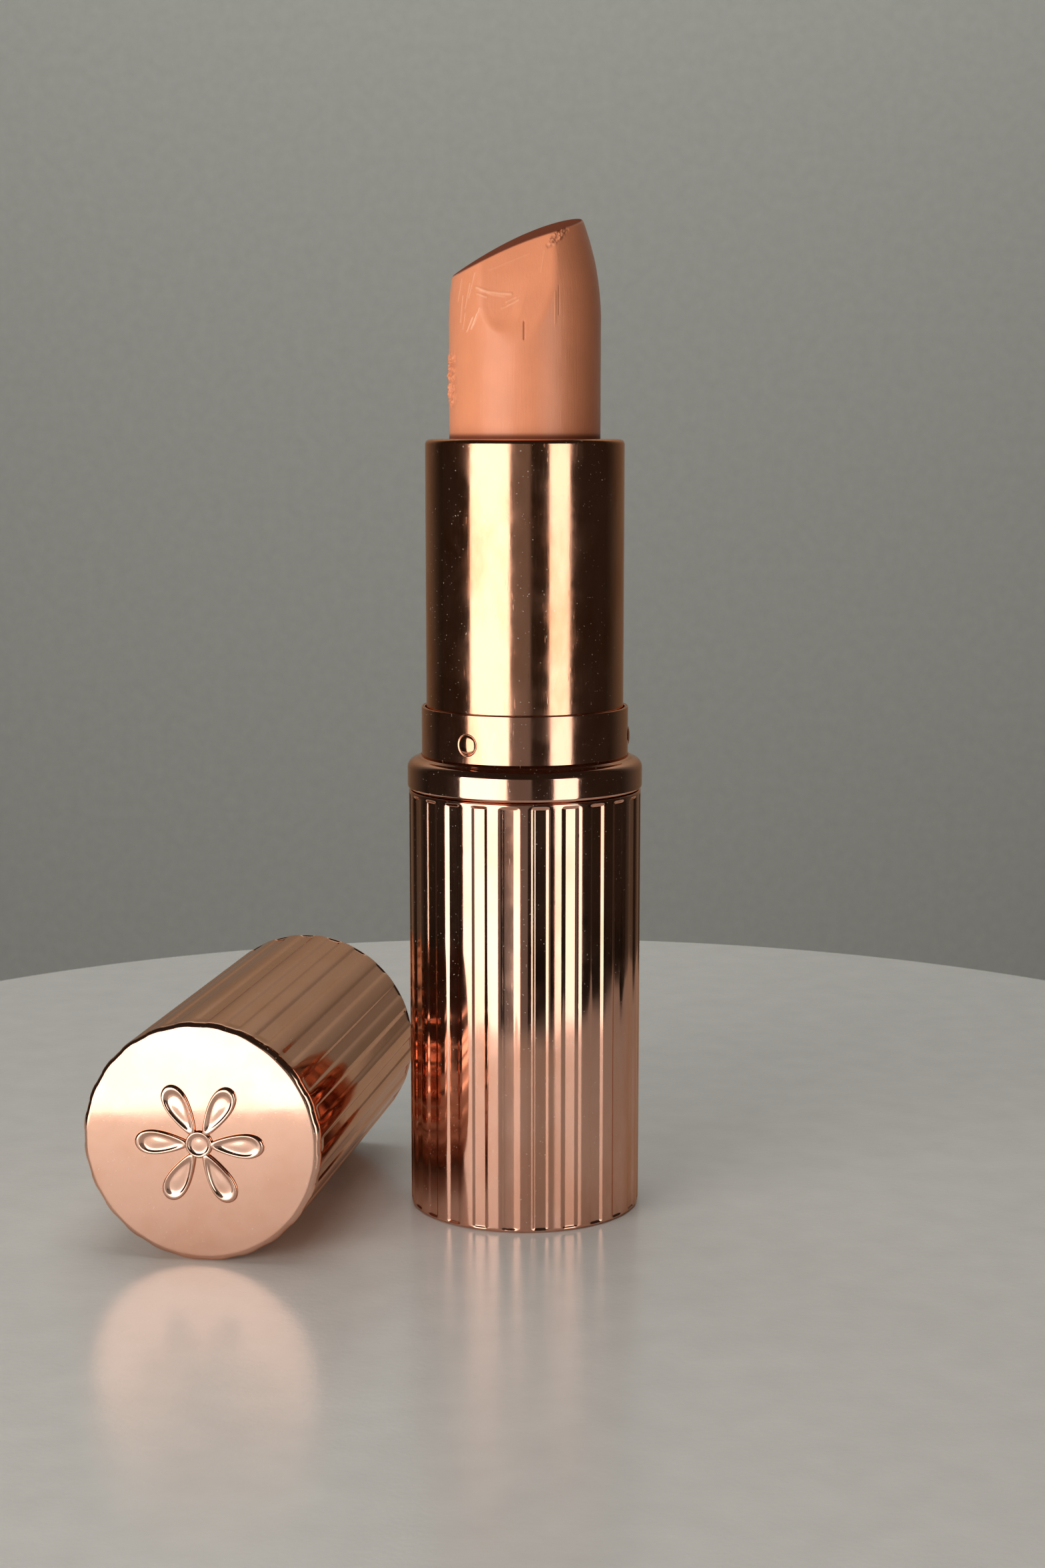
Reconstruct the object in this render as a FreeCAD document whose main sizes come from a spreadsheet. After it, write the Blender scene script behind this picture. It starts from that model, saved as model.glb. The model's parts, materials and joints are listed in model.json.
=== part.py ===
"""Lipstick case: a fluted base with a twist-up mechanism, its bullet raised, and the cap lying beside it.

Frame: millimetres, +Z up, origin at the centre of the base's foot. The front of the case faces -Y.
Each piece is drawn from its own foot, and its Placement puts it in the case or in the cap.
"""
import FreeCAD, Part
import Sketcher
import math
import os

V = FreeCAD.Vector

# Driving dimensions: alias, value in millimetres or degrees, meaning.
DIMENSIONS = (
    ("case_radius", 9.93, "axis to the raised bands of base and cap"),
    ("flute_count", 24, "flutes round the case"),
    ("flute_depth", 0.17, "raised band to the floor of a flute"),
    ("flute_floor_half", 0.375, "half the width of a flute's floor"),
    ("flute_mouth_half", 0.76, "half the width of a flute at the raised bands"),
    ("shell_bore_radius", 9.38, "inside of the base and cap shells"),
    ("edge_round", 0.35, "bevel at the shells' open ends"),
    ("base_height", 36.4, "foot to the top of the fluted shell"),
    ("foot_lip_radius", 8.60, "opening in the shell's turned-in foot"),
    ("foot_lip_height", 0.60, "thickness of the turned-in foot"),
    ("plug_recess", 0.25, "foot to the underside of the bottom plug"),
    ("plug_thickness", 1.75, "bottom plug, underside to top"),
    ("label_radius", 7.40, "shade label"),
    ("label_thickness", 0.15, "shade label"),
    ("weight_radius", 8.30, "steel slug in the base"),
    ("weight_height", 7.50, "steel slug in the base"),
    ("liner_radius", 9.36, "outside of both plastic liners"),
    ("liner_floor", 24.0, "foot to the floor that carries the mechanism"),
    ("liner_web", 1.20, "thickness of that floor"),
    ("liner_bore_radius", 8.55, "bore in which the sleeve turns"),
    ("ring_height", 2.80, "shoulder ring"),
    ("ring_slope", 0.70, "rise of the shoulder ring's sloping top"),
    ("collar_radius", 8.81, "outside of the collar"),
    ("collar_wall", 0.31, "collar, above its root"),
    ("collar_height", 4.30, "collar above the shoulder ring"),
    ("collar_root_radius", 9.02, "outside of the collar's root inside the shoulder ring"),
    ("bump_count", 3, "detent bumps round the collar"),
    ("bump_radius", 0.80, "detent bump, in outline"),
    ("bump_proud", 0.22, "height of a detent bump"),
    ("bump_height", 1.75, "centre of a bump above the shoulder ring"),
    ("bump_turn", -122.9, "direction of the first bump from +X"),
    ("tube_radius", 8.40, "outside of the turning tube"),
    ("tube_wall", 0.50, "turning tube"),
    ("tube_foot", 28.6, "lower end of the metal tube"),
    ("rim_height", 66.0, "foot to the rim of the turning tube"),
    ("rim_thickness", 0.70, "rolled rim"),
    ("rim_opening_radius", 6.80, "opening in the rolled rim"),
    ("rim_round", 0.55, "rounding of the rolled rim"),
    ("guide_inner_radius", 6.70, "slotted guide tube"),
    ("guide_outer_radius", 7.15, "slotted guide tube"),
    ("guide_flange", 1.20, "foot flange of the guide tube"),
    ("guide_top", 65.0, "upper end of the guide tube"),
    ("brake_section", 0.44, "radius of the brake ring's round section"),
    ("brake_radius", 7.75, "middle of the brake ring"),
    ("spiral_foot", 26.25, "lower end of the spiral tube"),
    ("spiral_top", 64.9, "upper end of the spiral tube"),
    ("spiral_inner_radius", 7.20, "spiral tube"),
    ("spiral_outer_radius", 7.88, "spiral tube"),
    ("spiral_flange", 1.00, "foot flange of the spiral tube"),
    ("groove_radius", 7.66, "bottom of the helical grooves"),
    ("groove_width", 2.12, "groove, measured along the axis"),
    ("helix_pitch", 16.4, "rise of a groove in one turn"),
    ("travel", 20.5, "stroke of the carrier"),
    ("catch_foot", 27.4, "underside of the retaining ring"),
    ("catch_thickness", 0.80, "retaining ring"),
    ("catch_inner_radius", 8.00, "retaining ring"),
    ("catch_outer_radius", 8.78, "retaining ring"),
    ("catch_split", 1.60, "gap in the split retaining ring"),
    ("cup_radius", 6.65, "outside of the elevator cup"),
    ("cup_foot", 53.5, "underside of the cup, bullet raised"),
    ("cup_height", 11.7, "elevator cup"),
    ("cup_floor", 0.80, "floor of the elevator cup"),
    ("lug_radius", 0.90, "lugs that ride in the grooves"),
    ("lug_reach", 7.55, "axis to the end of a lug"),
    ("lug_height", 1.90, "centre of the lugs above the cup's underside"),
    ("slot_clearance", 0.06, "lug to slot, on each side"),
    ("bullet_radius", 6.35, "lipstick bullet"),
    ("bullet_shoulder", 75.7, "where the bullet starts to taper"),
    ("bullet_taper_radius", 23.0, "curve of the bullet's taper"),
    ("bullet_tip", 84.3, "highest point of the bullet"),
    ("slant_angle", 21.3, "slope of the bullet's slanted top"),
    ("wear_height", 74.3, "lowest point of the worn face"),
    ("wear_angle", 30.0, "lean of the worn face from upright"),
    ("wear_turn", -20.6, "turn of the worn face from the front"),
    ("cap_length", 35.6, "mouth to closed end"),
    ("cap_end_wall", 0.70, "closed end"),
    ("cap_end_round", 1.20, "rounding of the closed end"),
    ("cap_end_rise", 0.30, "crown of the closed end"),
    ("cap_seat_radius", 6.60, "flat seat for the emblem"),
    ("cap_liner_radius", 9.05, "bore that slides over the collar"),
    ("cap_liner_inset", 0.40, "mouth to the liner's edge"),
    ("cap_depth", 31.7, "mouth to the liner's end wall"),
    ("cap_liner_end", 0.80, "liner's end wall"),
    ("cap_weight_radius", 9.00, "steel disc in the cap"),
    ("emblem_height", 0.30, "raised emblem"),
    ("petal_count", 6, "petals of the rosette"),
    ("petal_half_width", 1.15, "half the width of a petal's outer end"),
    ("petal_round", 1.30, "a petal's end rounding"),
    ("petal_inner", 0.60, "axis to the inner end of a petal"),
    ("petal_outer", 4.60, "axis to the outer end of a petal"),
    ("emblem_button", 1.10, "radius of the rosette's centre"),
    ("cap_x", -20.3, "centre of the cap's mouth, across"),
    ("cap_y", 18.0, "centre of the cap's mouth, behind the case"),
    ("cap_turn", 9.5, "cap's axis from +Y towards +X"),
)

doc = FreeCAD.newDocument("lipstick_case")


class Size:
    """A dimension: its present value, and the sheet expression that gives it."""

    def __init__(self, value, text):
        self.value = float(value)
        self.text = text

    def joined(self, sign, other, value):
        return Size(value, "(%s %s %s)" % (self.text, sign, other.text))

    def __add__(self, other):
        return self.joined("+", other, self.value + other.value)

    def __sub__(self, other):
        return self.joined("-", other, self.value - other.value)

    def __mul__(self, other):
        return self.joined("*", other, self.value * other.value)

    def __truediv__(self, other):
        return self.joined("/", other, self.value / other.value)


def number(value):
    """A plain number as a Size."""
    return Size(value, repr(float(value)))


def square_root(size):
    """The square root of a size."""
    return Size(math.sqrt(size.value), "sqrt(%s)" % size.text)


def make_sheet():
    """Write the driving dimensions to the sheet, and return each one as a Size by its alias."""
    sheet = doc.addObject("Spreadsheet::Sheet", "Dimensions")
    sizes = {}
    for row, (alias, value, meaning) in enumerate(DIMENSIONS, start=1):
        sheet.set("A%d" % row, str(value))
        sheet.setAlias("A%d" % row, alias)
        sheet.set("B%d" % row, meaning)
        sizes[alias] = Size(value, "Dimensions." + alias)
    doc.recompute()
    return sizes


D = make_sheet()
ZERO = number(0)
TWO = number(2)


def origin_feature(body, role):
    """The body's own origin plane or axis with this role."""
    return next(f for f in body.Origin.OriginFeatures if f.Role == role)


def new_body(label, foot=ZERO):
    """An empty body whose foot stands at a height above the origin."""
    body = doc.addObject("PartDesign::Body", label)
    body.Label = label
    body.setExpression("Placement.Base.z", foot.text)
    return body


def new_sketch(body, name, role="XZ_Plane", turn=0.0):
    """A sketch on one of the body's origin planes, turned about its vertical axis."""
    sketch = body.newObject("Sketcher::SketchObject", body.Label + "_" + name)
    sketch.AttachmentSupport = [(origin_feature(body, role), "")]
    sketch.MapMode = "FlatFace"
    sketch.AttachmentOffset = FreeCAD.Placement(V(0, 0, 0), FreeCAD.Rotation(V(0, 1, 0), turn))
    return sketch


def bind(sketch, kind, ends, size):
    """Add a dimension to a sketch and bind it to the sheet."""
    index = sketch.addConstraint(Sketcher.Constraint(kind, *ends, size.value))
    sketch.setExpression("Constraints[%d]" % index, size.text)


def bind_point(sketch, geometry, end, x, y):
    """Fix a point of a sketch at two sizes from the sketch's origin."""
    for size, kind, axis in ((x, "DistanceX", -2), (y, "DistanceY", -1)):
        if size is ZERO:
            sketch.addConstraint(Sketcher.Constraint("PointOnObject", geometry, end, axis))
        else:
            bind(sketch, kind, (-1, 1, geometry, end), size)


def bulged(start, end, radius):
    """An arc from start to end, bulging to the right of the way for a positive radius."""
    chord = end - start
    side = V(chord.y, -chord.x, 0).normalize() * (1 if radius > 0 else -1)
    half = chord.Length / 2
    rise = abs(radius) - math.sqrt(radius * radius - half * half)
    return Part.Arc(start, (start + end) / 2 + side * rise, end)


def outline(sketch, corners):
    """Draw a closed outline. A corner is (x, y), or (x, y, radius) where an arc leads to the next."""
    spots = [V(c[0].value, c[1].value, 0) for c in corners]
    edges = []
    for i, corner in enumerate(corners):
        start = spots[i]
        end = spots[(i + 1) % len(spots)]
        if len(corner) == 2:
            edges.append((sketch.addGeometry(Part.LineSegment(start, end)), 1, 2))
            continue
        arc = bulged(start, end, corner[2].value)
        index = sketch.addGeometry(arc)
        forward = sketch.Geometry[index].StartPoint.distanceToPoint(start) < 1e-6
        edges.append((index, 1, 2) if forward else (index, 2, 1))
    for i, (index, first, last) in enumerate(edges):
        following, next_first, _ = edges[(i + 1) % len(edges)]
        sketch.addConstraint(Sketcher.Constraint("Coincident", index, last, following, next_first))
        bind_point(sketch, index, first, corners[i][0], corners[i][1])
        if len(corners[i]) == 3:
            size = corners[i][2]
            magnitude = size if size.value > 0 else ZERO - size
            bind(sketch, "Radius", (index,), magnitude)


def ring_outline(sketch, radius, x=ZERO, y=ZERO):
    """Draw a circle."""
    index = sketch.addGeometry(Part.Circle(V(x.value, y.value, 0), V(0, 0, 1), radius.value))
    bind_point(sketch, index, 3, x, y)
    bind(sketch, "Radius", (index,), radius)


def turned(body, name, corners, cut=False):
    """Turn a section, given as radii and heights, about the body's axis."""
    sketch = new_sketch(body, name)
    outline(sketch, corners)
    kind = "PartDesign::Groove" if cut else "PartDesign::Revolution"
    feature = body.newObject(kind, body.Label + "_" + name + "_turn")
    feature.Profile = sketch
    feature.ReferenceAxis = (sketch, ["V_Axis"])
    feature.Angle = 360
    return feature


def tube_section(inner, outer, top, bottom=ZERO):
    """The section of a plain tube."""
    return [(inner, bottom), (outer, bottom), (outer, top), (inner, top)]


def both_ways(body, name, sketch, length, cut=True):
    """Pocket or pad a sketch by half the length to each side of its plane."""
    kind = "PartDesign::Pocket" if cut else "PartDesign::Pad"
    feature = body.newObject(kind, body.Label + "_" + name)
    feature.Profile = sketch
    feature.SideType = "Symmetric"
    feature.setExpression("Length", length.text)
    return feature


def round_pattern(body, name, features, count):
    """Repeat features evenly about the body's axis."""
    pattern = body.newObject("PartDesign::PolarPattern", body.Label + "_" + name)
    pattern.Originals = features
    pattern.Axis = (origin_feature(body, "Z_Axis"), [""])
    pattern.Angle = 360
    pattern.setExpression("Occurrences", count.text)
    body.Tip = pattern
    return pattern


def cut_flutes(body, length, first_turn):
    """Cut the flutes along the whole length, the first one at an angle from +X."""
    sketch = new_sketch(body, "flute_profile", "XY_Plane")
    sketch.AttachmentOffset = FreeCAD.Placement(V(0, 0, 0), FreeCAD.Rotation(V(0, 0, 1), first_turn))
    floor = D["case_radius"] - D["flute_depth"]
    inner = D["flute_floor_half"]
    outer = D["flute_mouth_half"] * TWO - inner
    mouth = D["case_radius"] + D["flute_depth"]
    outline(sketch, [(floor, ZERO - inner), (mouth, ZERO - outer), (mouth, outer), (floor, inner)])
    pocket = both_ways(body, "flute", sketch, length * TWO + TWO)
    round_pattern(body, "flutes", [pocket], D["flute_count"])


def flute_pitch():
    return 360 / D["flute_count"].value


# The base


def base_shell():
    """Fluted tube with a turned-in foot; a raised band faces the front."""
    body = new_body("base_shell")
    edge = D["edge_round"]
    turned(body, "wall", [
        (D["foot_lip_radius"], ZERO),
        (D["case_radius"] - edge, ZERO),
        (D["case_radius"], edge),
        (D["case_radius"], D["base_height"] - edge),
        (D["case_radius"] - edge, D["base_height"]),
        (D["shell_bore_radius"], D["base_height"]),
        (D["shell_bore_radius"], D["foot_lip_height"]),
        (D["foot_lip_radius"], D["foot_lip_height"]),
    ])
    cut_flutes(body, D["base_height"], flute_pitch() / 2)
    return body


def bottom_plug():
    """Stepped disc that fills the foot, with a shallow recess for the label."""
    body = new_body("bottom_plug", D["plug_recess"])
    spigot = D["foot_lip_radius"] - number(0.05)
    step = D["foot_lip_height"] - D["plug_recess"]
    recess = D["label_radius"] + number(0.2)
    turned(body, "disc", [
        (ZERO, D["label_thickness"]),
        (recess, D["label_thickness"]),
        (recess, ZERO),
        (spigot, ZERO),
        (spigot, step),
        (D["liner_radius"], step),
        (D["liner_radius"], D["plug_thickness"]),
        (ZERO, D["plug_thickness"]),
    ])
    return body


def base_label():
    """Blank shade label in the plug's recess."""
    body = new_body("base_label", D["plug_recess"])
    turned(body, "disc", [
        (ZERO, ZERO),
        (D["label_radius"], ZERO),
        (D["label_radius"], D["label_thickness"]),
        (ZERO, D["label_thickness"]),
    ])
    return body


def plug_top():
    return D["plug_recess"] + D["plug_thickness"]


def base_weight():
    """Steel slug that stands on the bottom plug."""
    body = new_body("base_weight", plug_top())
    bevel = number(0.5)
    turned(body, "slug", [
        (ZERO, ZERO),
        (D["weight_radius"], ZERO),
        (D["weight_radius"], D["weight_height"] - bevel),
        (D["weight_radius"] - bevel, D["weight_height"]),
        (ZERO, D["weight_height"]),
    ])
    return body


def base_liner():
    """Plastic liner: a pocket over the weight, a floor, and the bore in which the sleeve turns."""
    body = new_body("base_liner", plug_top())
    foot = plug_top()
    pocket = D["weight_radius"] + number(0.05)
    floor = D["liner_floor"] - foot
    top = D["base_height"] - foot
    turned(body, "wall", [
        (pocket, ZERO),
        (D["liner_radius"], ZERO),
        (D["liner_radius"], top),
        (D["liner_bore_radius"], top),
        (D["liner_bore_radius"], floor),
        (ZERO, floor),
        (ZERO, floor - D["liner_web"]),
        (pocket, floor - D["liner_web"]),
    ])
    play = number(0.02)
    low = D["catch_foot"] - foot - play
    high = low + D["catch_thickness"] + play * TWO
    inner = D["liner_bore_radius"] - number(0.2)
    outer = D["catch_outer_radius"] + play
    turned(body, "catch_groove", tube_section(inner, outer, high, low), cut=True)
    return body


def shoulder_ring():
    """Bead between shell and collar, with a rounded flank and a sloping top."""
    body = new_body("shoulder_ring", D["base_height"])
    edge = number(0.30)
    bore = D["collar_root_radius"] + number(0.02)
    shoulder = D["ring_height"] - D["ring_slope"]
    turned(body, "bead", [
        (bore, ZERO),
        (D["case_radius"] - edge, ZERO),
        (D["case_radius"], edge),
        (D["case_radius"], shoulder),
        (D["case_radius"] - number(0.45), D["ring_height"] - number(0.25)),
        (bore, D["ring_height"]),
    ])
    return body


def collar_band():
    """Collar with a thicker root and round detent bumps pressed outwards."""
    body = new_body("collar_band", D["base_height"])
    top = D["ring_height"] + D["collar_height"]
    turned(body, "band", [
        (ZERO, ZERO),
        (D["collar_root_radius"], ZERO),
        (D["collar_root_radius"], D["ring_height"]),
        (D["collar_radius"], D["ring_height"]),
        (D["collar_radius"], top),
        (ZERO, top),
    ])
    # Radius of the ball whose cap is as wide and as proud as a bump.
    wide = D["bump_radius"] * D["bump_radius"]
    ball = (wide + D["bump_proud"] * D["bump_proud"]) / (TWO * D["bump_proud"])
    height = D["ring_height"] + D["bump_height"]
    root = D["collar_radius"] - D["collar_wall"] / TWO
    proud = D["collar_radius"] + D["bump_proud"]
    sunk = root - proud + ball
    spread = square_root(ball * ball - sunk * sunk)
    sketch = new_sketch(body, "bump_profile", turn=D["bump_turn"].value)
    outline(sketch, [
        (root, height),
        (proud, height, ball),
        (root, height + spread),
    ])
    bump = body.newObject("PartDesign::Revolution", "bump")
    bump.Profile = sketch
    bump.ReferenceAxis = (sketch, ["Edge1"])
    bump.Angle = 360
    round_pattern(body, "bumps", [bump], D["bump_count"])
    bore = new_sketch(body, "bore_profile", "XY_Plane")
    ring_outline(bore, D["collar_radius"] - D["collar_wall"])
    both_ways(body, "bore", bore, top * TWO + TWO)
    return body


def guide_tube():
    """Flanged tube whose two straight slots keep the cup from turning."""
    body = new_body("guide_tube", D["liner_floor"])
    flange = D["liner_bore_radius"] - number(0.05)
    turned(body, "wall", [
        (D["guide_inner_radius"], ZERO),
        (flange, ZERO),
        (flange, D["guide_flange"]),
        (D["guide_outer_radius"], D["guide_flange"]),
        (D["guide_outer_radius"], D["guide_top"] - D["liner_floor"]),
        (D["guide_inner_radius"], D["guide_top"] - D["liner_floor"]),
    ])
    half = D["lug_radius"] + D["slot_clearance"]
    high = D["cup_foot"] + D["lug_height"] - D["liner_floor"] + half
    low = high - D["travel"] - half * TWO
    sketch = new_sketch(body, "slot_profile")
    outline(sketch, [(ZERO - half, low), (half, low), (half, high), (ZERO - half, high)])
    both_ways(body, "slots", sketch, D["case_radius"] * TWO)
    return body


def brake_ring():
    """Elastomer ring of round section on the guide tube's flange."""
    ring = doc.addObject("Part::Torus", "brake_ring")
    ring.Label = "brake_ring"
    ring.setExpression("Radius1", D["brake_radius"].text)
    ring.setExpression("Radius2", D["brake_section"].text)
    height = D["liner_floor"] + D["guide_flange"] + D["brake_section"]
    ring.setExpression("Placement.Base.z", height.text)
    return ring


def retaining_ring():
    """Split ring in the liner's groove, over the spiral tube's flange."""
    body = new_body("retaining_ring", D["catch_foot"])
    ring = tube_section(D["catch_inner_radius"], D["catch_outer_radius"], D["catch_thickness"])
    turned(body, "ring", ring)
    half = D["catch_split"] / TWO
    reach = D["case_radius"]
    sketch = new_sketch(body, "split_profile", "XY_Plane")
    outline(sketch, [(ZERO - half, ZERO), (half, ZERO), (half, reach), (ZERO - half, reach)])
    both_ways(body, "split", sketch, D["catch_thickness"] * TWO + TWO)
    return body


# The turning sleeve


def tube_shell():
    """Metal tube with a rolled rim that closes down to a round opening."""
    body = new_body("tube_shell", D["tube_foot"])
    top = D["rim_height"] - D["tube_foot"]
    inner = D["tube_radius"] - D["tube_wall"]
    turned(body, "wall", [
        (inner, ZERO),
        (D["tube_radius"], ZERO),
        (D["tube_radius"], top - D["rim_round"], D["rim_round"]),
        (D["tube_radius"] - D["rim_round"], top),
        (D["rim_opening_radius"] + number(0.2), top),
        (D["rim_opening_radius"], top - number(0.2)),
        (D["rim_opening_radius"], top - D["rim_thickness"]),
        (inner, top - D["rim_thickness"]),
    ])
    return body


def helical_groove(body, name, start_turn, foot, rise):
    """Cut one groove that climbs round the inside of the spiral tube."""
    sketch = new_sketch(body, name + "_profile", turn=start_turn)
    inner = D["spiral_inner_radius"] - number(0.3)
    low = foot - D["groove_width"] / TWO
    outline(sketch, tube_section(inner, D["groove_radius"], low + D["groove_width"], low))
    groove = body.newObject("PartDesign::SubtractiveHelix", body.Label + "_" + name)
    groove.Profile = sketch
    groove.ReferenceAxis = (sketch, ["V_Axis"])
    groove.Mode = 0
    groove.setExpression("Pitch", D["helix_pitch"].text)
    groove.setExpression("Height", rise.text)
    groove.LeftHanded = False
    groove.Reversed = False
    return groove


def spiral_tube():
    """Cam tube: two right-handed grooves lower the cup as the sleeve turns counter-clockwise."""
    body = new_body("spiral_tube", D["spiral_foot"])
    inner = D["spiral_inner_radius"]
    outer = D["spiral_outer_radius"]
    turned(body, "wall", [
        (inner, ZERO),
        (D["tube_radius"], ZERO),
        (D["tube_radius"], D["spiral_flange"]),
        (outer, D["spiral_flange"]),
        (outer, D["spiral_top"] - D["spiral_foot"]),
        (inner, D["spiral_top"] - D["spiral_foot"]),
    ])
    # Each groove runs past both ends of the lug's path by this angle, to hold the round lug.
    overrun = 9.0
    extra = D["helix_pitch"] * number(overrun / 360)
    lug_low = D["cup_foot"] + D["lug_height"] - D["travel"] - D["spiral_foot"]
    path_turn = 360 * D["travel"].value / D["helix_pitch"].value
    front = -90
    for name, lug_turn in (("front_groove", front), ("back_groove", front + 180)):
        start_turn = lug_turn - path_turn - overrun
        helical_groove(body, name, start_turn, lug_low - extra, D["travel"] + extra * TWO)
    return body


# The carrier


def elevator_cup():
    """Cup that holds the bullet, with a lug on each side."""
    body = new_body("elevator_cup", D["cup_foot"])
    turned(body, "block", [
        (ZERO, ZERO),
        (D["cup_radius"], ZERO),
        (D["cup_radius"], D["cup_height"]),
        (ZERO, D["cup_height"]),
    ])
    lugs = new_sketch(body, "lug_profile")
    ring_outline(lugs, D["lug_radius"], y=D["lug_height"])
    both_ways(body, "lugs", lugs, D["lug_reach"] * TWO, cut=False)
    turned(body, "hollow", [
        (ZERO, D["cup_floor"]),
        (D["bullet_radius"], D["cup_floor"]),
        (D["bullet_radius"], D["cup_height"] + D["cup_floor"]),
        (ZERO, D["cup_height"] + D["cup_floor"]),
    ], cut=True)
    return body


def bullet():
    """Tapered bullet with a slanted top, worn flat across the front."""
    foot = D["cup_foot"] + D["cup_floor"]
    body = new_body("bullet", foot)
    shoulder = D["bullet_shoulder"] - foot
    tip = D["bullet_tip"] - foot
    taper = D["bullet_taper_radius"]
    rise = D["bullet_tip"].value - D["bullet_shoulder"].value
    inset = taper.value - math.sqrt(taper.value ** 2 - rise ** 2)
    tip_radius = D["bullet_radius"] - number(inset)
    turned(body, "blank", [
        (ZERO, ZERO),
        (D["bullet_radius"], ZERO),
        (D["bullet_radius"], shoulder, taper),
        (tip_radius, tip),
        (ZERO, tip),
    ])
    slope = number(math.tan(math.radians(D["slant_angle"].value)))
    reach = D["case_radius"]
    slant = new_sketch(body, "slant_profile")
    left_height = tip - (reach + tip_radius) * slope
    outline(slant, [
        (ZERO - reach, left_height),
        (tip_radius, tip),
        (tip_radius, tip + reach),
        (ZERO - reach, tip + reach),
    ])
    both_ways(body, "slant", slant, reach * TWO)
    lean = number(math.tan(math.radians(D["wear_angle"].value)))
    wear = new_sketch(body, "wear_profile", "YZ_Plane", turn=D["wear_turn"].value)
    low = D["wear_height"] - foot
    high = tip + TWO
    back = (high - low) * lean - D["bullet_radius"]
    outline(wear, [
        (ZERO - D["bullet_radius"], low),
        (back, high),
        (ZERO - reach, high),
        (ZERO - reach, low),
    ])
    both_ways(body, "wear", wear, reach * TWO)
    return body


# The cap, drawn with its mouth at the foot and its closed end up


def cap_shell():
    """Fluted cap with a crowned, rounded end; a flute lies lowest when the cap is laid down."""
    body = new_body("cap_shell")
    edge = D["edge_round"]
    top = D["cap_length"]
    turned(body, "wall", [
        (D["shell_bore_radius"], ZERO),
        (D["case_radius"] - edge, ZERO),
        (D["case_radius"], edge),
        (D["case_radius"], top - D["cap_end_rise"] - D["cap_end_round"], D["cap_end_round"]),
        (D["case_radius"] - D["cap_end_round"], top - D["cap_end_rise"]),
        (D["cap_seat_radius"], top),
        (ZERO, top),
        (ZERO, top - D["cap_end_wall"]),
        (D["shell_bore_radius"] - D["cap_end_round"], top - D["cap_end_wall"]),
        (D["shell_bore_radius"], top - D["cap_end_wall"] - D["cap_end_round"]),
    ])
    cut_flutes(body, D["cap_length"], 0.0)
    return body


def cap_liner():
    """Plastic sleeve that slides over the collar, closed under the weight."""
    body = new_body("cap_liner")
    end = D["cap_depth"] + D["cap_liner_end"]
    turned(body, "wall", [
        (D["cap_liner_radius"], D["cap_liner_inset"]),
        (D["liner_radius"], D["cap_liner_inset"]),
        (D["liner_radius"], end),
        (ZERO, end),
        (ZERO, D["cap_depth"]),
        (D["cap_liner_radius"], D["cap_depth"]),
    ])
    return body


def cap_weight():
    """Steel disc between the liner and the closed end."""
    body = new_body("cap_weight")
    low = D["cap_depth"] + D["cap_liner_end"]
    high = D["cap_length"] - D["cap_end_wall"]
    turned(body, "disc", [
        (ZERO, low),
        (D["cap_weight_radius"], low),
        (D["cap_weight_radius"], high - D["cap_end_round"]),
        (D["cap_weight_radius"] - D["cap_end_round"], high),
        (ZERO, high),
    ])
    return body


def cap_emblem():
    """Raised rosette on the closed end: a button with petals that touch it."""
    body = new_body("cap_emblem")
    top = D["cap_length"] + D["emblem_height"]
    seat = D["cap_length"]
    turned(body, "button", tube_section(ZERO, D["emblem_button"], top, seat))
    narrow = D["petal_half_width"] / TWO
    wide = D["petal_half_width"]
    sketch = new_sketch(body, "petal_profile", "XY_Plane")
    sketch.AttachmentOffset = FreeCAD.Placement(V(0, 0, seat.value), FreeCAD.Rotation())
    outline(sketch, [
        (D["petal_inner"], ZERO - narrow),
        (D["petal_outer"], ZERO - wide, D["petal_round"]),
        (D["petal_outer"], wide),
        (D["petal_inner"], narrow),
    ])
    petal = body.newObject("PartDesign::Pad", "petal")
    petal.Profile = sketch
    petal.setExpression("Length", D["emblem_height"].text)
    round_pattern(body, "petals", [petal], D["petal_count"])
    return body


def cap_axis_height():
    """Height of the lying cap's axis: it rests on the raised bands beside its lowest flute."""
    return math.sqrt(D["case_radius"].value ** 2 - D["flute_mouth_half"].value ** 2)


def lay_cap(pieces):
    """Lay the cap on its side beside the case, its closed end towards the front."""
    turn = math.radians(D["cap_turn"].value)
    across = V(math.cos(turn), -math.sin(turn), 0)
    along = V(-math.sin(turn), -math.cos(turn), 0)
    rotation = FreeCAD.Rotation(across, V(0, 0, 1), along, "XYZ")
    height = cap_axis_height()
    for piece in pieces:
        piece.setExpression("Placement.Base.z", None)
        piece.Placement = FreeCAD.Placement(V(D["cap_x"].value, D["cap_y"].value, height), rotation)
        piece.setExpression("Placement.Base.x", D["cap_x"].text)
        piece.setExpression("Placement.Base.y", D["cap_y"].text)


def check_document():
    """Stop if any object of the document failed."""
    for item in doc.Objects:
        if "Invalid" in item.State or "Error" in item.State:
            raise RuntimeError("%s failed: %s" % (item.Name, item.State))


def write_parts(pieces):
    """Check each piece and write it to its own file."""
    for piece in pieces:
        if piece.Shape.isNull() or not piece.Shape.isValid():
            raise RuntimeError("%s has no valid shape" % piece.Label)
    os.makedirs("parts", exist_ok=True)
    for piece in pieces:
        piece.Shape.exportStep("parts/%s.step" % piece.Label)
        box = piece.Shape.BoundBox
        print("%-16s %9.2f mm3  z %.2f to %.2f" % (piece.Label, piece.Shape.Volume, box.ZMin, box.ZMax))


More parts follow.
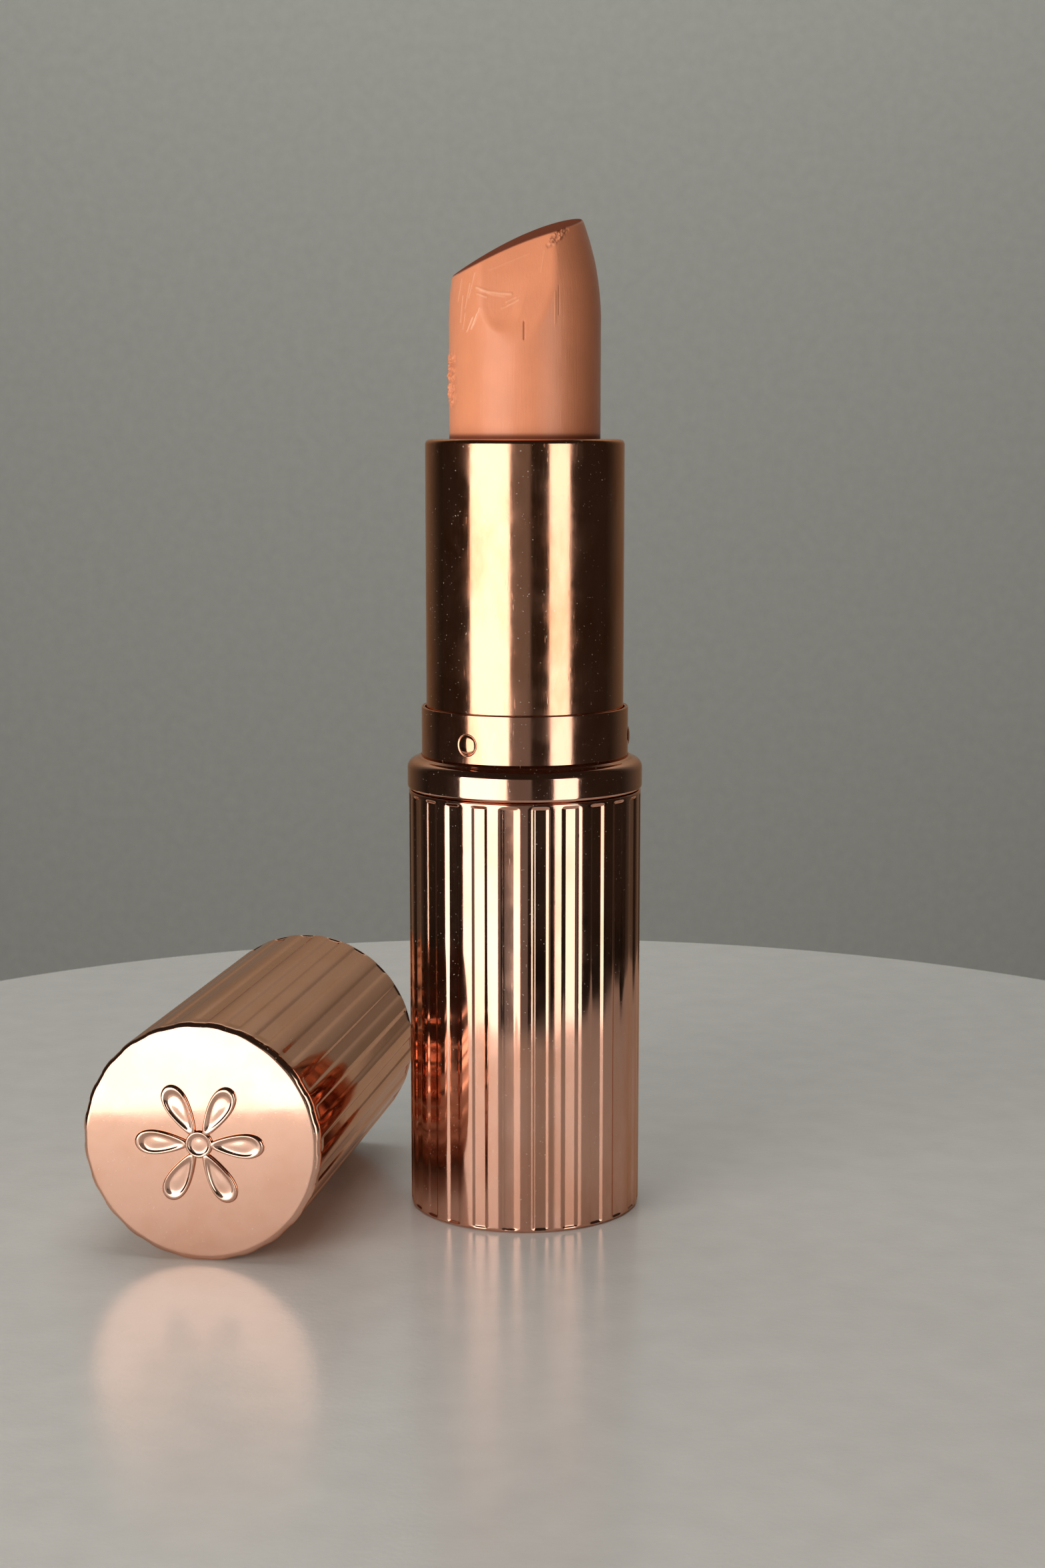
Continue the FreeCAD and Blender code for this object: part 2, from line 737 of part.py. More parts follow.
base_pieces = [base_shell(), bottom_plug(), base_label(), base_weight(), base_liner(), shoulder_ring(),
               collar_band(), guide_tube(), brake_ring(), retaining_ring()]
sleeve_pieces = [tube_shell(), spiral_tube()]
carrier_pieces = [elevator_cup(), bullet()]
cap_pieces = [cap_shell(), cap_liner(), cap_weight(), cap_emblem()]
lay_cap(cap_pieces)
doc.recompute()
check_document()
write_parts(base_pieces + sleeve_pieces + carrier_pieces + cap_pieces)
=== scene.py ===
"""Looks of the lipstick case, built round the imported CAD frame.

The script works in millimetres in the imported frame: +Z up, origin at the centre of the base's foot,
the front facing -Y. Meshes are written in metres when they are made. The stage is in metres.
"""

import json
import math

import bmesh
import bpy
import numpy as np
from mathutils import Matrix, Vector, noise


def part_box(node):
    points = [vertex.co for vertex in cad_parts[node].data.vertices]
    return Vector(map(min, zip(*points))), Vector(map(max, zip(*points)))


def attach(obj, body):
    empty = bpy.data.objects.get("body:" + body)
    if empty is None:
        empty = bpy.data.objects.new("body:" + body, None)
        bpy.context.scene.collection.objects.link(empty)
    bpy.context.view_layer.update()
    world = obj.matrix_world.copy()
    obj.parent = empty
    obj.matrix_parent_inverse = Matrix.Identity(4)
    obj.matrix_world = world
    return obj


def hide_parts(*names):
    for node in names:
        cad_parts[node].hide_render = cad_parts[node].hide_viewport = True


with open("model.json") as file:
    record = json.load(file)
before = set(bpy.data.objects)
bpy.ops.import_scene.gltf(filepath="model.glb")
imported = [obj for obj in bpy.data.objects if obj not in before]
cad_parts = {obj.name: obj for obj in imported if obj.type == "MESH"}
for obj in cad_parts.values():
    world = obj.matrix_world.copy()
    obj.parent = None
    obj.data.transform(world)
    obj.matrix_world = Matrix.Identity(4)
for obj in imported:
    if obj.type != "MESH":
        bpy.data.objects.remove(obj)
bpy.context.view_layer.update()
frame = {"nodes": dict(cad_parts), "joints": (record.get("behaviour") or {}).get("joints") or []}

MM = 0.001


def box_mm(node):
    """Lowest and highest corner of a CAD node, in millimetres."""
    low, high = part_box(node)
    return low / MM, high / MM


# Where the CAD pieces are.
SHELL_HIGH = box_mm("base_shell")[1]
CASE_RADIUS = SHELL_HIGH.x
BASE_TOP = SHELL_HIGH.z
RING_TOP = box_mm("shoulder_ring")[1].z
COLLAR_TOP = box_mm("collar_band")[1].z
TUBE_LOW, TUBE_HIGH = box_mm("tube_shell")
BULLET_LOW = box_mm("bullet")[0]
PLUG_LOW, PLUG_HIGH = box_mm("bottom_plug")
LINER_LOW, LINER_HIGH = box_mm("cap_liner")
TIP_JOINT = next(joint for joint in frame["joints"] if joint["name"] == "cap_tip")

# Shells. The flutes' section is given by its slope at turns from the middle of a raised band, in degrees.
FLUTES = 24
FLUTE_SLOPES = ((0.0, 0.0), (1.5, 1.5), (3.3, 13.0), (3.7, 24.5), (4.6, 24.5), (5.2, 3.0), (7.5, 0.0))
FLUTE_STEPS = (0, 0.9, 1.6, 2.1, 2.5, 2.8, 3.05, 3.3, 3.5, 3.7, 4.0, 4.3, 4.6, 4.8, 5.0, 5.2, 5.6, 6.4, 7.5)
MOUTH_FADE = (0.12, 0.42)
RING_FADE = (-0.52, -0.20)
EDGE_DROPS = (0.62, 0.53, 0.46, 0.41, 0.36, 0.31, 0.27, 0.23, 0.19)
SHELL_BORE = 9.38
FOOT_OPENING = 8.60
FOOT_LIP = 0.60
CAP_LENGTH = 35.6
CAP_END_WALL = 0.70
CAP_CROWN = 0.30
CAP_EDGE_ROUND = 0.55
CAP_END_DROPS = (2.0, 1.75, 1.5, 1.25, 1.0, 0.75)
CAP_DOME_RADII = (8.6, 8.2, 7.6, 6.8, 6.0, 5.2, 4.4, 3.6, 2.8, 2.0, 1.2, 0.5, 0.0)
CAP_LINER_BORE = 9.05
CAP_LINER_INSET = 0.40
CAP_DEPTH = 31.7

# Bottom plug and label.
RECESS_RADIUS = 7.60
RECESS_DEPTH = 0.15
LABEL_RADIUS = 7.40
LABEL_INSET = 0.02

# Ring and collar.
RING_RADIUS = 10.04
COLLAR_RADIUS = 8.81
COLLAR_BORE = 8.50
BUMP_TURNS = (-122.9, -2.9, 117.1)
BUMP_HEIGHT = 40.95
BUMP_RADIUS = 0.80
BUMP_PROUD = 0.14
BUMP_LINE = 0.045

# Turning tube.
TUBE_RADIUS = 8.40
TUBE_BORE = 7.90
RIM_OPENING = 6.80

# Bullet: a cylinder, an ogive above the shoulder, a worn flat face, a slanted top.
BULLET_RADIUS = 6.35
BULLET_SHOULDER = 75.7
BULLET_TAPER = 23.0
WORN_NORMAL = np.array([-0.1206, -0.9704, 0.2088])
WORN_OFFSET = 21.67
WORN_ROUND = 0.16
TOP_MIDDLE = 82.58
TOP_SLOPE = 0.405
TOP_CROWN = 0.019
TOP_LEAN = 0.140
TOP_TWIST = 0.006
TOP_ROUND = 0.22
SCOOP_X = -2.0
SCOOP_FOOT = 76.9
SCOOP_DEPTH = 0.20
SKIN_START = 65.2
RAY_START = 74.0
RAY_LENGTH = 16.0

# Table the case stands on.
TABLE_RADIUS = 97.0
TABLE_CENTRE = 17.0

# Camera, in metres and degrees.
CAMERA_PLACE = (-0.0002, -0.2056, 0.066)
CAMERA_TILT = 81.885
CAMERA_LENS = 55.58

# Colours of the lights and of the room round them.
WARM = (1.0, 0.97, 0.92)
WARM_FILL = (1.0, 0.93, 0.86)
AMBER_FILL = (1.0, 0.86, 0.74)
ROOM_COLOUR = (1.0, 0.80, 0.62, 1)
ROOM_STRENGTH = 0.024

# Marks in the metal's skin and the tint of its edges.
METAL_PEEL = 0.00035
METAL_EDGE_TINT = (0.90, 0.66, 0.50, 1)
DUST = (0.75, 0.62, 0.52)

# Rosette.
PETALS = 6
PETAL_INNER = 0.75
PETAL_OUTER = 5.40
PETAL_HALF_WIDTH = 1.40
PETAL_MIDDLE = 3.4
BUTTON_RADIUS = 1.15
RELIEF = 0.30


# Mesh helpers


def finish_mesh(name, data, body, nodes, material, matrix=None):
    """Put a mesh in the scene as a smooth piece that stands for CAD nodes."""
    piece = bpy.data.objects.new(name, data)
    bpy.context.scene.collection.objects.link(piece)
    if matrix is not None:
        piece.matrix_world = matrix
    for polygon in data.polygons:
        polygon.use_smooth = True
    data.materials.append(material)
    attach(piece, body)
    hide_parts(*nodes)


def grid_mesh(name, grid, joined_rows=True):
    """A mesh from rows of points in millimetres, closed round the columns; doubles are merged."""
    rows, columns = grid.shape[:2]
    row = np.arange(rows if joined_rows else rows - 1)[:, None]
    column = np.arange(columns)[None, :]
    after = (row + 1) % rows
    beside = (column + 1) % columns
    near = row * columns
    far = after * columns
    corners = (near + column, near + beside, far + beside, far + column)
    faces = np.stack(np.broadcast_arrays(*corners), -1).reshape(-1, 4)
    data = bpy.data.meshes.new(name)
    data.from_pydata((grid.reshape(-1, 3) * MM).tolist(), [], faces.tolist())
    shape = bmesh.new()
    shape.from_mesh(data)
    bmesh.ops.remove_doubles(shape, verts=shape.verts, dist=1e-7)
    loose = [edge for edge in shape.edges if not edge.link_faces]
    bmesh.ops.delete(shape, geom=loose, context="EDGES")
    shape.to_mesh(data)
    shape.free()
    return data


def arc_between(centre, start, end, steps):
    """Points of the arc from start to end round a centre."""
    first = start - centre
    last = end - centre
    sweep = first.angle(last)
    points = []
    for i in range(steps + 1):
        share = i / steps
        mixed = first * math.sin((1 - share) * sweep) + last * math.sin(share * sweep)
        points.append(centre + mixed / math.sin(sweep))
    return points


def section(corners, steps):
    """A closed section from corners (radius, height, rounding); a short straight is left by each arc."""
    points = []
    for i, (radius, height, rounding) in enumerate(corners):
        here = Vector((radius, height))
        if rounding == 0:
            points.append(here)
            continue
        before = Vector(corners[i - 1][:2]) - here
        after = Vector(corners[(i + 1) % len(corners)][:2]) - here
        half = before.angle(after) / 2
        reach = rounding / math.tan(half)
        middle = (before.normalized() + after.normalized()).normalized()
        centre = here + middle * (rounding / math.sin(half))
        start = here + before.normalized() * reach
        end = here + after.normalized() * reach
        points.append(start + before.normalized() * min(0.1, 0.3 * (before.length - reach)))
        points.extend(arc_between(centre, start, end, steps))
        points.append(end + after.normalized() * min(0.1, 0.3 * (after.length - reach)))
    return points


def even_turns(count):
    """Evenly spaced directions, in degrees."""
    return np.arange(count) * (360.0 / count)


def lathe(name, points, turns, change=None):
    """Turn a closed section about +Z; change gives what is added to the radius at each point."""
    radius = np.array([point[0] for point in points])[:, None]
    height = np.array([point[1] for point in points])[:, None]
    turn = np.asarray(turns, float)[None, :]
    swept = radius + np.zeros_like(turn)
    if change is not None:
        swept = swept + change(radius, height, turn)
    angle = np.radians(turn)
    grid = np.stack([swept * np.cos(angle), swept * np.sin(angle), height + np.zeros_like(swept)], -1)
    return grid_mesh(name, grid)


def smooth_step(low, high, value):
    """0 below low, 1 above high, and a smooth rise between."""
    share = np.clip((value - low) / (high - low), 0, 1)
    return share * share * (3 - 2 * share)


# Materials


def mix_value(tree, factor, low, high):
    """Map a factor from 0 to 1 onto a range."""
    node = tree.nodes.new("ShaderNodeMapRange")
    node.inputs["To Min"].default_value = low
    node.inputs["To Max"].default_value = high
    tree.links.new(factor, node.inputs["Value"])
    return node.outputs["Result"]


def stretched(tree, stretch):
    """Object coordinates, stretched along an axis."""
    coordinates = tree.nodes.new("ShaderNodeTexCoord")
    mapping = tree.nodes.new("ShaderNodeMapping")
    mapping.inputs["Scale"].default_value = stretch
    tree.links.new(coordinates.outputs["Object"], mapping.inputs["Vector"])
    return mapping.outputs["Vector"]


def noise_factor(tree, size_mm, detail, stretch=(1, 1, 1), contrast=None):
    """Noise with features of a size in millimetres; contrast sets the range that becomes 0 to 1."""
    node = tree.nodes.new("ShaderNodeTexNoise")
    node.inputs["Scale"].default_value = 1 / (size_mm * MM)
    node.inputs["Detail"].default_value = detail
    tree.links.new(stretched(tree, stretch), node.inputs["Vector"])
    if contrast is None:
        return node.outputs["Fac"]
    ramp = tree.nodes.new("ShaderNodeMapRange")
    ramp.interpolation_type = "SMOOTHSTEP"
    ramp.inputs["From Min"].default_value = contrast[0]
    ramp.inputs["From Max"].default_value = contrast[1]
    tree.links.new(node.outputs["Fac"], ramp.inputs["Value"])
    return ramp.outputs["Result"]


def mixed_colour(tree, factor, first, second):
    """A blend of two colours or colour outputs."""
    node = tree.nodes.new("ShaderNodeMix")
    node.data_type = "RGBA"
    tree.links.new(factor, node.inputs[0])
    for socket, value in ((node.inputs[6], first), (node.inputs[7], second)):
        if isinstance(value, tuple):
            socket.default_value = (*value, 1)
        else:
            tree.links.new(value, socket)
    return node.outputs[2]


def bumped(tree, height, depth_mm, before=None):
    """A bump of a depth in millimetres, laid over an earlier one."""
    node = tree.nodes.new("ShaderNodeBump")
    node.inputs["Strength"].default_value = 1.0
    node.inputs["Distance"].default_value = depth_mm * MM
    tree.links.new(height, node.inputs["Height"])
    if before is not None:
        tree.links.new(before, node.inputs["Normal"])
    return node.outputs["Normal"]


def new_material(name):
    """A node material, its tree and its shader."""
    material = bpy.data.materials.new(name)
    material.use_nodes = True
    return material, material.node_tree, material.node_tree.nodes["Principled BSDF"]


def metal(name, colour, roughness, scratch=0.0, tarnish=0.90):
    """Polished anodised metal: cloudy tone changes, fine peel, long scratches, specks of dust."""
    material, tree, shader = new_material(name)
    shader.inputs["Specular Tint"].default_value = METAL_EDGE_TINT
    cloud = noise_factor(tree, 3.2, 5.0, (1, 1, 0.4), contrast=(0.40, 0.68))
    darker = (colour[0] * (0.5 + tarnish / 2), colour[1] * tarnish, colour[2] * (tarnish * 1.4 - 0.4))
    tone = mixed_colour(tree, cloud, colour, darker)
    speck = noise_factor(tree, 0.17, 1.0, contrast=(0.745, 0.77))
    tree.links.new(mixed_colour(tree, speck, tone, DUST), shader.inputs["Base Color"])
    tree.links.new(mix_value(tree, speck, 1.0, 0.45), shader.inputs["Metallic"])
    smear = noise_factor(tree, 2.5, 4.0, contrast=(0.35, 0.7))
    hair = noise_factor(tree, 0.09, 2.0, (1, 1, 0.06), contrast=(0.45, 0.75))
    blend = tree.nodes.new("ShaderNodeMath")
    blend.operation = "MULTIPLY_ADD"
    blend.inputs[1].default_value = 0.5
    tree.links.new(hair, blend.inputs[0])
    tree.links.new(smear, blend.inputs[2])
    uneven = mix_value(tree, blend.outputs[0], roughness * 0.8, roughness * 1.35)
    tree.links.new(uneven, shader.inputs["Roughness"])
    normal = bumped(tree, noise_factor(tree, 0.35, 2.0), METAL_PEEL)
    if scratch > 0:
        marks = noise_factor(tree, 0.22, 2.0, (1, 1, 0.12), contrast=(0.66, 0.74))
        normal = bumped(tree, marks, scratch, normal)
    tree.links.new(normal, shader.inputs["Normal"])
    return material


def wax(name, colour):
    """Satin wax: slight tone changes, painted shade and painted highlights, drag marks, a pitted skin."""
    material, tree, shader = new_material(name)
    shader.inputs["Subsurface Weight"].default_value = 0.12
    shader.inputs["Subsurface Radius"].default_value = (1.0, 0.45, 0.3)
    shader.inputs["Subsurface Scale"].default_value = 0.0008
    shader.inputs["IOR"].default_value = 1.45
    cloud = noise_factor(tree, 3.0, 4.0, contrast=(0.3, 0.7))
    darker = tuple(0.93 * channel for channel in colour)
    tone = mixed_colour(tree, cloud, colour, darker)
    # The attribute holds painted shade above 0 and painted highlight below 0.
    painted_shade_and_highlight = tree.nodes.new("ShaderNodeAttribute")
    painted_shade_and_highlight.attribute_name = "painted_shade_and_highlight"
    # Dark wax colour of the painted shade.
    shade_colour = (colour[0] * 0.27, colour[1] * 0.21, colour[2] * 0.22)
    shaded = mixed_colour(tree, painted_shade_and_highlight.outputs["Fac"], tone, shade_colour)
    highlight_share = tree.nodes.new("ShaderNodeMath")
    highlight_share.operation = "MULTIPLY"
    highlight_share.inputs[1].default_value = -1.0
    tree.links.new(painted_shade_and_highlight.outputs["Fac"], highlight_share.inputs[0])
    # Pale wax colour of the painted highlight.
    highlight_colour = (0.95, colour[1] * 1.75, colour[2] * 2.1)
    tree.links.new(mixed_colour(tree, highlight_share.outputs[0], shaded, highlight_colour), shader.inputs["Base Color"])
    shine = mix_value(tree, painted_shade_and_highlight.outputs["Fac"], 0.50, 0.0)
    tree.links.new(shine, shader.inputs["Specular IOR Level"])
    drag = noise_factor(tree, 0.16, 3.0, (1, 1, 0.05))
    tree.links.new(mix_value(tree, drag, 0.29, 0.41), shader.inputs["Roughness"])
    normal = bumped(tree, drag, 0.012)
    normal = bumped(tree, noise_factor(tree, 0.12, 3.0), 0.006, normal)
    tree.links.new(normal, shader.inputs["Normal"])
    return material


def plastic(name, colour, roughness, grain_mm=0.12, grain_depth=0.003):
    """Moulded plastic with a fine grain."""
    material, tree, shader = new_material(name)
    darker = tuple(0.85 * channel for channel in colour)
    tone = mixed_colour(tree, noise_factor(tree, 4.0, 3.0), colour, darker)
    tree.links.new(tone, shader.inputs["Base Color"])
    grain = noise_factor(tree, grain_mm, 2.0)
    tree.links.new(mix_value(tree, grain, roughness * 0.85, roughness * 1.15), shader.inputs["Roughness"])
    tree.links.new(bumped(tree, grain, grain_depth), shader.inputs["Normal"])
    return material


def turned_steel(name, colour):
    """Turned steel: fine rings across the axis."""
    material, tree, shader = new_material(name)
    shader.inputs["Metallic"].default_value = 1.0
    rings = noise_factor(tree, 0.1, 2.0, (0.02, 0.02, 1))
    darker = tuple(0.7 * channel for channel in colour)
    tree.links.new(mixed_colour(tree, rings, colour, darker), shader.inputs["Base Color"])
    tree.links.new(mix_value(tree, rings, 0.25, 0.45), shader.inputs["Roughness"])
    tree.links.new(bumped(tree, rings, 0.004), shader.inputs["Normal"])
    return material


# The base's rose metal is darker than the cap's: its pinker tint is its own, its lower brightness is
# painted shade.
SHADED_ROSE = metal("rose_metal", (0.78, 0.44, 0.33), 0.095, 0.0006, 0.84)
COLLAR = metal("collar_metal", (0.82, 0.43, 0.30), 0.12, 0.0013, 0.76)
TUBE = metal("tube_metal", (0.82, 0.42, 0.275), 0.13, 0.0013, 0.74)
CAP_ROSE = metal("cap_rose_metal", (0.85, 0.51, 0.385), 0.09, 0.0006, 0.92)
EMBLEM = metal("emblem_metal", (0.87, 0.55, 0.43), 0.09)
WAX = wax("bullet_wax", (0.80, 0.308, 0.163))
DARK = plastic("dark_plastic", (0.10, 0.08, 0.07), 0.35)
IVORY = plastic("ivory_plastic", (0.82, 0.78, 0.70), 0.40)
LINER = plastic("liner_plastic", (0.09, 0.08, 0.08), 0.45)
LABEL = plastic("label_film", (0.72, 0.38, 0.30), 0.30, 0.5, 0.001)
STEEL = turned_steel("steel", (0.55, 0.55, 0.56))
RUBBER = plastic("elastomer", (0.04, 0.04, 0.045), 0.60, 0.2, 0.004)


# Fluted shells


def flute_depths():
    """Turns from a raised band's middle over half a flute, and the depth there, from the slopes."""
    fine = np.linspace(0, FLUTE_STEPS[-1], 751)
    slope = np.tan(np.radians(np.interp(fine, *zip(*FLUTE_SLOPES))))
    step = np.radians(fine[1]) * CASE_RADIUS
    depth = np.concatenate([[0], np.cumsum((slope[1:] + slope[:-1]) / 2 * step)])
    return fine, depth


def fluted_turns(first):
    """Directions of the columns: close together at the flanks of each flute."""
    half = list(FLUTE_STEPS)
    around = sorted([-step for step in half[1:-1]] + half)
    turns = [first + k * 360.0 / FLUTES + step for k in range(FLUTES) for step in around]
    return np.array(turns)


def flute_change(first, fade):
    """What the flutes add to the radius, for a raised band at the first direction."""
    fine, depth = flute_depths()
    pitch = 360.0 / FLUTES

    def change(radius, height, turn):
        """Depth of the flute below the case's outside, as a change of radius."""
        offset = np.abs((turn - first + pitch / 2) % pitch - pitch / 2)
        return -np.interp(offset, fine, depth) * fade(radius, height)

    return change


def base_fade(radius, height):
    """The base's flutes die out just below the shoulder ring and at the rounded foot."""
    top = 1 - smooth_step(BASE_TOP + RING_FADE[0], BASE_TOP + RING_FADE[1], height)
    foot = smooth_step(*MOUTH_FADE, height)
    return top * foot * (radius > SHELL_BORE + 0.1)


def cap_fade(radius, height):
    """The cap's flutes grow shallow towards its rounded end and die out across it."""
    mouth = smooth_step(*MOUTH_FADE, height)
    end = smooth_step(CASE_RADIUS - 0.55, CASE_RADIUS - 0.02, radius)
    outside = (radius > SHELL_BORE + 0.1) | (height > CAP_LENGTH - CAP_END_WALL + 0.05)
    shallow = 1 - 0.6 * smooth_step(CAP_LENGTH - 2.2, CAP_LENGTH - 0.8, height)
    return mouth * end * shallow * outside


def build_base_shell():
    """Fluted base with a turned-in foot."""
    wall = [(CASE_RADIUS, BASE_TOP - drop, 0) for drop in EDGE_DROPS]
    foot = [(CASE_RADIUS, height, 0) for height in (0.44, 0.50, 0.60)]
    corners = [
        (FOOT_OPENING, 0, 0.08),
        (CASE_RADIUS, 0, 0.36),
        *foot,
        *wall,
        (CASE_RADIUS, BASE_TOP, 0.15),
        (SHELL_BORE, BASE_TOP, 0.05),
        (SHELL_BORE, FOOT_LIP, 0),
        (FOOT_OPENING, FOOT_LIP, 0.05),
    ]
    band = -90.0
    change = flute_change(band, base_fade)
    data = lathe("base_shell_look", section(corners, 8), fluted_turns(band), change)
    finish_mesh("base_shell_look", data, "base", ["base_shell"], SHADED_ROSE)


def build_shoulder_ring():
    """Fat rounded bead whose top sweeps up to the collar."""
    low = BASE_TOP + 0.03
    corners = [
        (COLLAR_RADIUS + 0.23, low, 0),
        (CASE_RADIUS - 0.35, low, 0),
        (RING_RADIUS, low + 0.10, 0.34),
        (RING_RADIUS, RING_TOP - 0.36, 0.80),
        (9.22, RING_TOP - 0.10, 0.25),
        (COLLAR_RADIUS + 0.015, RING_TOP + 0.22, 0),
        (COLLAR_RADIUS + 0.015, RING_TOP - 0.3, 0),
        (COLLAR_RADIUS + 0.23, RING_TOP - 0.5, 0),
    ]
    data = lathe("shoulder_ring_look", section(corners, 9), even_turns(384))
    finish_mesh("shoulder_ring_look", data, "base", ["shoulder_ring"], SHADED_ROSE)


def bump_change(radius, height, turn):
    """Low domed bumps with a stamped rim line, on the collar's outside."""
    total = np.zeros(np.broadcast_shapes(height.shape, turn.shape))
    for centre in BUMP_TURNS:
        across = np.radians((turn - centre + 180) % 360 - 180) * COLLAR_RADIUS
        distance = np.hypot(across, height - BUMP_HEIGHT)
        dome = BUMP_PROUD * np.clip(1 - (distance / BUMP_RADIUS) ** 2.4, 0, 1) ** 0.8
        line = -BUMP_LINE * np.exp(-((distance - BUMP_RADIUS - 0.05) / BUMP_LINE) ** 2)
        total = total + dome + line
    return total * (radius > COLLAR_RADIUS - 0.02)


def build_collar():
    """Thin collar with its detent bumps; rows and columns are close together round them."""
    dense = np.arange(-1.0, 1.001, 0.033)
    heights = BUMP_HEIGHT + dense
    wall = [(COLLAR_RADIUS, height, 0) for height in heights]
    corners = [
        (COLLAR_BORE, BASE_TOP + 0.2, 0.05),
        (COLLAR_RADIUS, BASE_TOP + 0.2, 0.05),
        *wall,
        (COLLAR_RADIUS, COLLAR_TOP, 0.10),
        (COLLAR_BORE, COLLAR_TOP, 0.10),
    ]
    spread = np.degrees(dense / COLLAR_RADIUS)
    turns = set(np.round(even_turns(180), 4))
    for centre in BUMP_TURNS:
        turns = {turn for turn in turns if abs((turn - centre + 180) % 360 - 180) > spread[-1] + 0.5}
        turns |= {round(float((centre + step) % 360), 4) for step in spread}
    data = lathe("collar_look", section(corners, 4), sorted(turns), bump_change)
    finish_mesh("collar_look", data, "base", ["collar_band"], COLLAR)


def build_tube():
    """Turning tube with a rolled rim round the bullet."""
    low = TUBE_LOW.z
    top = TUBE_HIGH.z
    corners = [
        (TUBE_BORE, low, 0.1),
        (TUBE_RADIUS, low, 0.15),
        (TUBE_RADIUS, top - 0.07, 0.42),
        (TUBE_RADIUS - 0.75, top, 0.35),
        (RIM_OPENING, top - 0.08, 0.16),
        (RIM_OPENING, top - 0.70, 0.1),
        (TUBE_BORE, top - 0.85, 0.2),
    ]
    data = lathe("tube_look", section(corners, 8), even_turns(384))
    finish_mesh("tube_look", data, "sleeve", ["tube_shell"], TUBE)


# Bullet


def side_radius(z):
    """Radius of the moulded side at a height: a cylinder, then an ogive."""
    rise = np.clip(z - BULLET_SHOULDER, 0, BULLET_TAPER * 0.9)
    return BULLET_RADIUS - BULLET_TAPER + np.sqrt(BULLET_TAPER ** 2 - rise ** 2)


def top_height(x, y):
    """Height of the slanted top, slightly crowned and twisted towards the front."""
    return TOP_MIDDLE + TOP_SLOPE * x - TOP_CROWN * x * x + (TOP_LEAN + TOP_TWIST * x) * y


def smooth_max(first, second, width):
    """The larger of two distances, with a rounded change-over."""
    blend = np.clip(width - np.abs(first - second), 0, None) / width
    return np.maximum(first, second) + blend * blend * width / 4


def scoop_depth(x, y, z):
    """A shallow U-shaped dip worn into the lower half of the flat face."""
    across = (x - SCOOP_X) / (1.75 + 0.25 * np.clip(z - 76.5, 0, 2))
    along = np.clip(SCOOP_FOOT - z, 0, None) / 2.35
    reach = np.sqrt(across ** 2 + along ** 2)
    fading = 1 - smooth_step(75.9, 79.4, z)
    return SCOOP_DEPTH * (1 - smooth_step(0.52, 1.04, reach)) * fading * (y < 0)


def bullet_field(points):
    """Signed measure of the bullet: negative inside."""
    x, y, z = points[..., 0], points[..., 1], points[..., 2]
    side = np.hypot(x, y) - side_radius(z)
    worn = points @ WORN_NORMAL - WORN_OFFSET
    flank = smooth_max(side, worn, WORN_ROUND)
    top = (z - top_height(x, y)) * 0.9
    return smooth_max(flank, top, TOP_ROUND) + scoop_depth(x, y, z)


def solve_rays(aims):
    """Points of the bullet's skin, seen from a point on its axis towards each aim."""
    start = np.array([0.0, 0.0, RAY_START])
    ray = aims - start
    ray = ray / np.linalg.norm(ray, axis=-1, keepdims=True)
    near = np.zeros(ray.shape[:-1])
    far = np.full(ray.shape[:-1], RAY_LENGTH)
    for _ in range(34):
        middle = (near + far) / 2
        inside = bullet_field(start + ray * middle[..., None]) < 0
        near = np.where(inside, middle, near)
        far = np.where(inside, far, middle)
    return start + ray * near[..., None]


def flank_radius(turn, z):
    """Radius of the side or of the worn face in a direction."""
    facing = WORN_NORMAL[0] * np.cos(turn) + WORN_NORMAL[1] * np.sin(turn)
    reach = np.where(facing > 0.05, (WORN_OFFSET - WORN_NORMAL[2] * z) / np.maximum(facing, 0.05), 99.0)
    return np.minimum(side_radius(z), reach)


def edge_heights(turn):
    """Height at which the side meets the slanted top, in each direction."""
    low = np.full(turn.shape, 70.0)
    high = np.full(turn.shape, 88.0)
    for _ in range(40):
        middle = (low + high) / 2
        radius = flank_radius(turn, middle)
        below = middle < top_height(radius * np.cos(turn), radius * np.sin(turn))
        low = np.where(below, middle, low)
        high = np.where(below, high, middle)
    return (low + high) / 2


def bullet_turns():
    """Directions of the columns, closest together on the front."""
    bends = (-180, -95, -85, 85, 95, 180)
    gaps = np.interp(np.arange(-180, 180, 0.5), bends, (1.3, 1.3, 0.42, 0.42, 1.3, 1.3))
    turns = [-180.0]
    while turns[-1] < 180:
        spot = int((turns[-1] + 180) * 2)
        turns.append(turns[-1] + gaps[min(spot, len(gaps) - 1)])
    turns = np.array(turns[:-1])
    return np.radians(turns - 90)


def stroke(points, path, width, height):
    """What a scratch adds to the skin, along a path given as (x, z) on the bullet's front."""
    nearest = np.full(points.shape[:-1], 9.0)
    for (x0, z0), (x1, z1) in zip(path[:-1], path[1:]):
        along = np.array([x1 - x0, z1 - z0])
        offset = np.stack([points[..., 0] - x0, points[..., 2] - z0], -1)
        share = np.clip(offset @ along / (along @ along), 0, 1)
        gap = np.linalg.norm(offset - share[..., None] * along, axis=-1)
        nearest = np.minimum(nearest, gap)
    return height * np.exp(-(nearest / width) ** 2) * (points[..., 1] < 0)
